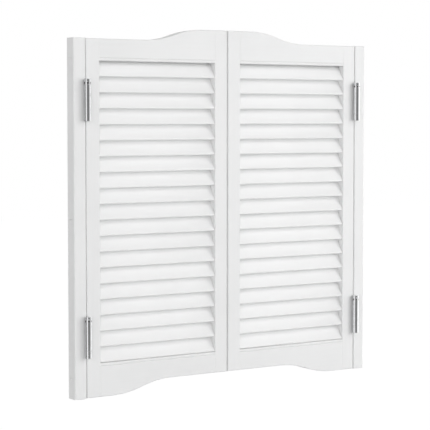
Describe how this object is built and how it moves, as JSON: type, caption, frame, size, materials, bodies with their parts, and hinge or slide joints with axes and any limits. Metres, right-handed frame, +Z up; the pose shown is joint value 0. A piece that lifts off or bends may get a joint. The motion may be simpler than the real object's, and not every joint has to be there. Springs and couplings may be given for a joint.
{
  "type": "louvred cafe swing doors",
  "caption": "Louvred cafe swing doors with S-curved rails, hung between jamb strips on double-action spring hinges; each leaf opens both ways and closes by itself.",
  "frame": {"origin": "midway between the two jamb strips, mid-thickness, at the height of their lower ends", "axes": "+X across the doorway towards the right-hand strip, -Y towards the front, +Z up"},
  "size_m": [0.914, 0.069, 0.919],
  "materials": {
    "white_painted_wood": "satin white paint",
    "chrome_plate": "polished plating",
    "zinc_steel": "bright zinc"
  },
  "bodies": {
    "jambs": {"left_jamb_leaf_screws": "zinc_steel", "left_jamb_strip": "white_painted_wood", "left_lower_jamb_leaf": "chrome_plate", "left_upper_jamb_leaf": "chrome_plate", "right_jamb_leaf_screws": "zinc_steel", "right_jamb_strip": "white_painted_wood", "right_lower_jamb_leaf": "chrome_plate", "right_upper_jamb_leaf": "chrome_plate"},
    "left_link": {"left_door_lock_pin": "zinc_steel", "left_jamb_lock_pin": "zinc_steel", "left_lower_centre_flange": "chrome_plate", "left_lower_door_spring": "zinc_steel", "left_lower_door_tension_cap": "chrome_plate", "left_lower_jamb_spring": "zinc_steel", "left_lower_jamb_tension_cap": "chrome_plate", "left_upper_centre_flange": "chrome_plate", "left_upper_door_spring": "zinc_steel", "left_upper_door_tension_cap": "chrome_plate", "left_upper_jamb_spring": "zinc_steel", "left_upper_jamb_tension_cap": "chrome_plate"},
    "right_link": {"right_door_lock_pin": "zinc_steel", "right_jamb_lock_pin": "zinc_steel", "right_lower_centre_flange": "chrome_plate", "right_lower_door_spring": "zinc_steel", "right_lower_door_tension_cap": "chrome_plate", "right_lower_jamb_spring": "zinc_steel", "right_lower_jamb_tension_cap": "chrome_plate", "right_upper_centre_flange": "chrome_plate", "right_upper_door_spring": "zinc_steel", "right_upper_door_tension_cap": "chrome_plate", "right_upper_jamb_spring": "zinc_steel", "right_upper_jamb_tension_cap": "chrome_plate"},
    "left_door": {"left_bottom_rail": "white_painted_wood", "left_door_leaf_screws": "zinc_steel", "left_hinge_stile": "white_painted_wood", "left_louvre_slats": "white_painted_wood", "left_lower_door_leaf": "chrome_plate", "left_meeting_stile": "white_painted_wood", "left_top_rail": "white_painted_wood", "left_upper_door_leaf": "chrome_plate"},
    "right_door": {"right_bottom_rail": "white_painted_wood", "right_door_leaf_screws": "zinc_steel", "right_hinge_stile": "white_painted_wood", "right_louvre_slats": "white_painted_wood", "right_lower_door_leaf": "chrome_plate", "right_meeting_stile": "white_painted_wood", "right_top_rail": "white_painted_wood", "right_upper_door_leaf": "chrome_plate"}
  },
  "joints": [
    {"name": "left_front_pivot", "type": "hinge", "parent": "jambs", "child": "left_link", "pos_m": [-0.42385, -0.026, 0.445], "axis": [0, 0, 1], "range_deg": [-90, 0], "stiffness_Nm_per_rad": 1, "springref_deg": 28.65},
    {"name": "left_rear_pivot", "type": "hinge", "parent": "left_link", "child": "left_door", "pos_m": [-0.42155, 0.026, 0.445], "axis": [0, 0, 1], "range_deg": [0, 90], "stiffness_Nm_per_rad": 1, "springref_deg": -28.65},
    {"name": "right_rear_pivot", "type": "hinge", "parent": "jambs", "child": "right_link", "pos_m": [0.42385, 0.026, 0.445], "axis": [0, 0, 1], "range_deg": [-90, 0], "stiffness_Nm_per_rad": 1, "springref_deg": 28.65},
    {"name": "right_front_pivot", "type": "hinge", "parent": "right_link", "child": "right_door", "pos_m": [0.42155, -0.026, 0.445], "axis": [0, 0, 1], "range_deg": [0, 90], "stiffness_Nm_per_rad": 1, "springref_deg": -28.65}
  ]
}
